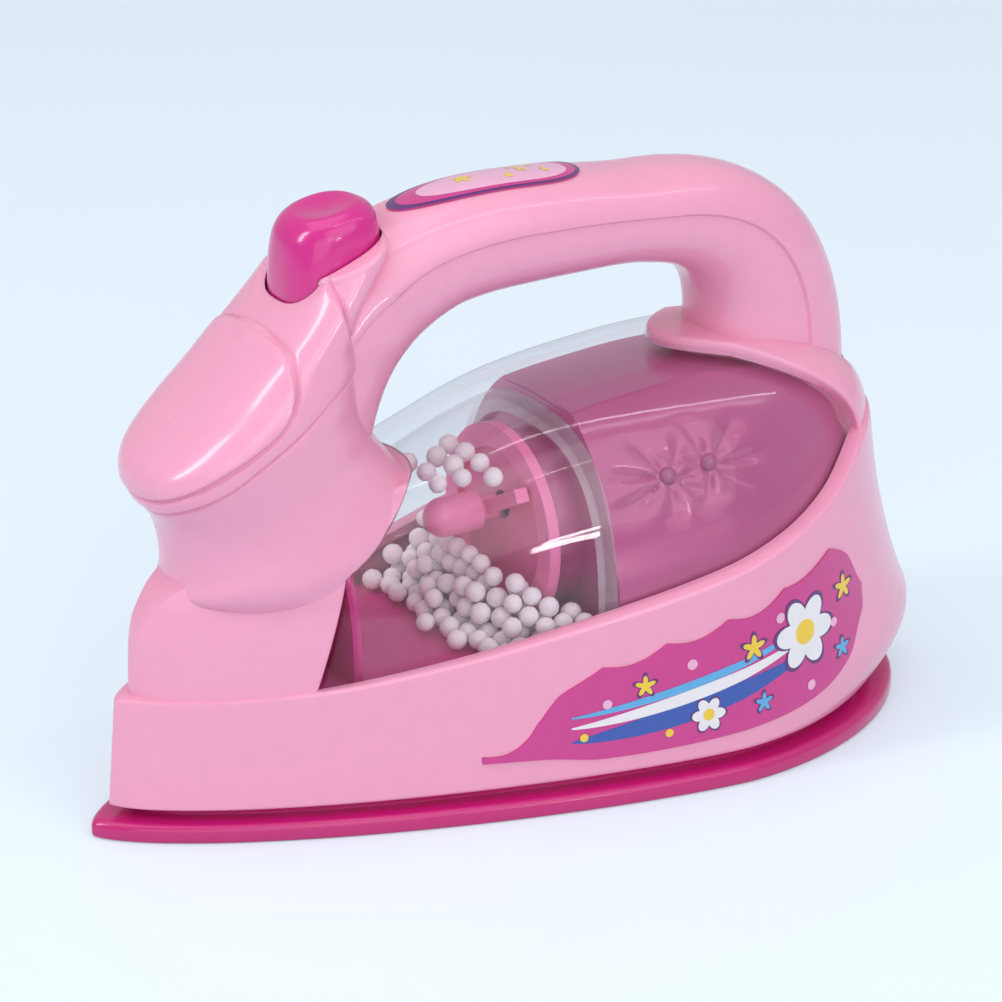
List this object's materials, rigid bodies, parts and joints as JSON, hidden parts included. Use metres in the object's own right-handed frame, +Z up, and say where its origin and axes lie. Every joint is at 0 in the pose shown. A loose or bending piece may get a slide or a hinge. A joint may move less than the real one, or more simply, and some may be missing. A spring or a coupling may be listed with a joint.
{
  "type": "toy iron",
  "caption": "Battery-driven toy iron with a pointed sole, a loop handle, a push button on its head and a clear window where a stirrer tosses foam beads.",
  "frame": {"origin": "middle of the overall length and width, on the underside of the sole", "axes": "+X from the tip towards the heel along the length, +Y to the iron's right, +Z up from the sole to the handle"},
  "size_m": [0.154, 0.074, 0.0997],
  "materials": {
    "pink_shell": "gloss",
    "magenta_plastic": "gloss",
    "pearl_liner": "pearl",
    "clear_plastic": "clear",
    "foam": "matte",
    "steel": "bright",
    "dark_plastic": "matte",
    "board": "satin",
    "label_film": "gloss"
  },
  "bodies": {
    "body": {"housing_left": "pink_shell", "housing_right": "pink_shell", "sole_plate": "magenta_plastic", "battery_door": "magenta_plastic", "battery_door_screw": "steel", "battery_cells": "dark_plastic", "contact_springs": "steel", "contact_plates": "steel", "clear_cover": "clear_plastic", "bead_chamber": "clear_plastic", "liner": "pearl_liner", "face_disc": "pink_shell", "motor": "steel", "motor_cradle": "dark_plastic", "motor_screws": "steel", "foam_beads": "foam", "button_spring": "steel", "switch_body": "dark_plastic", "circuit_board": "board", "leds": "clear_plastic", "housing_screws": "steel", "sole_screws": "steel", "side_label_left": "label_film", "side_label_right": "label_film", "handle_label": "label_film"},
    "push_button": {"button": "magenta_plastic", "switch_plunger": "dark_plastic"},
    "stirring_rotor": {"stirrer": "pink_shell", "motor_shaft": "steel"}
  },
  "joints": [
    {"name": "button_press", "type": "slide", "parent": "body", "child": "push_button", "axis": [0, 0, -1], "range_m": [0, 0.0024], "stiffness_N_per_m": 300, "springref_m": -0.001, "deforming": ["button_spring"]},
    {"name": "stirrer_spin", "type": "hinge", "parent": "body", "child": "stirring_rotor", "pos_m": [0, 0, 0.0417], "axis": [1, 0, 0], "continuous": true}
  ]
}
